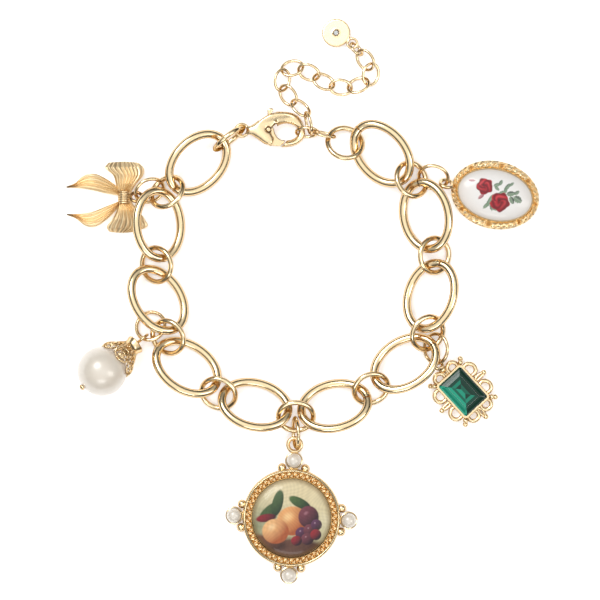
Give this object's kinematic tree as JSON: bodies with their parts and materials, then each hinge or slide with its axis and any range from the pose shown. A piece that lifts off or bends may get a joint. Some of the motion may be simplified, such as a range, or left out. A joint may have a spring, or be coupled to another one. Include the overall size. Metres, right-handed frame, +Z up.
{
  "type": "charm bracelet",
  "caption": "Clasped bracelet chain of large oval links and round rings with a lobster clasp, extender and hanging charms.",
  "frame": {"origin": "on the surface that the bracelet lies on, under the middle of its box", "axes": "+Z up from the surface, +Y towards the clasp and the tag, +X towards the clasp's nose"},
  "size_m": [0.1096, 0.1308, 0.0115],
  "materials": {
    "gold": "polished pale gold plate",
    "pearl": "pearl lustre",
    "painted_stone": "painted under a clear gloss coat",
    "porcelain": "glazed white with painted roses",
    "green_crystal": "polished cut stone",
    "clear_crystal": "polished cut stone"
  },
  "bodies": {
    "bracelet": {"oval_link_01": "gold", "oval_link_02": "gold", "oval_link_03": "gold", "oval_link_04": "gold", "oval_link_05": "gold", "oval_link_06": "gold", "oval_link_07": "gold", "oval_link_08": "gold", "oval_link_09": "gold", "oval_link_10": "gold", "round_ring_01": "gold", "round_ring_02": "gold", "round_ring_03": "gold", "round_ring_04": "gold", "round_ring_05": "gold", "round_ring_06": "gold", "round_ring_07": "gold", "round_ring_08": "gold", "round_ring_09": "gold", "round_ring_10": "gold", "clasp_ring": "gold", "extender_link_00": "gold", "extender_link_01": "gold", "extender_link_02": "gold", "extender_link_03": "gold", "extender_link_04": "gold", "extender_link_05": "gold", "extender_link_06": "gold", "extender_link_07": "gold", "extender_link_08": "gold", "extender_link_09": "gold", "extender_link_10": "gold", "extender_link_11": "gold", "extender_link_12": "gold", "bow_jump_ring": "gold", "pearl_jump_ring": "gold", "medallion_jump_ring": "gold", "green_jump_ring": "gold", "oval_jump_ring": "gold", "tag_jump_ring": "gold", "clasp_body": "gold", "clasp_pin": "gold", "bow_charm": "gold", "pearl_cap": "gold", "pearl_headpin": "gold", "medallion_frame": "gold", "green_frame": "gold", "oval_frame": "gold", "tag_disc": "gold", "pearl_bead": "pearl", "medallion_pearl_1": "pearl", "medallion_pearl_2": "pearl", "medallion_pearl_3": "pearl", "medallion_pearl_4": "pearl", "medallion_cabochon": "painted_stone", "oval_cabochon": "porcelain", "green_stone": "green_crystal", "tag_stone": "clear_crystal"},
    "lever": {"clasp_lever": "gold"}
  },
  "joints": [
    {"name": "clasp_lever_hinge", "type": "hinge", "parent": "bracelet", "child": "lever", "pos_m": [-0.00792, 0.03973, 0.00227], "axis": [0.0549, 0, 0.9985], "range_deg": [0, 25], "stiffness_Nm_per_rad": 0.002, "springref_deg": -11.46}
  ]
}
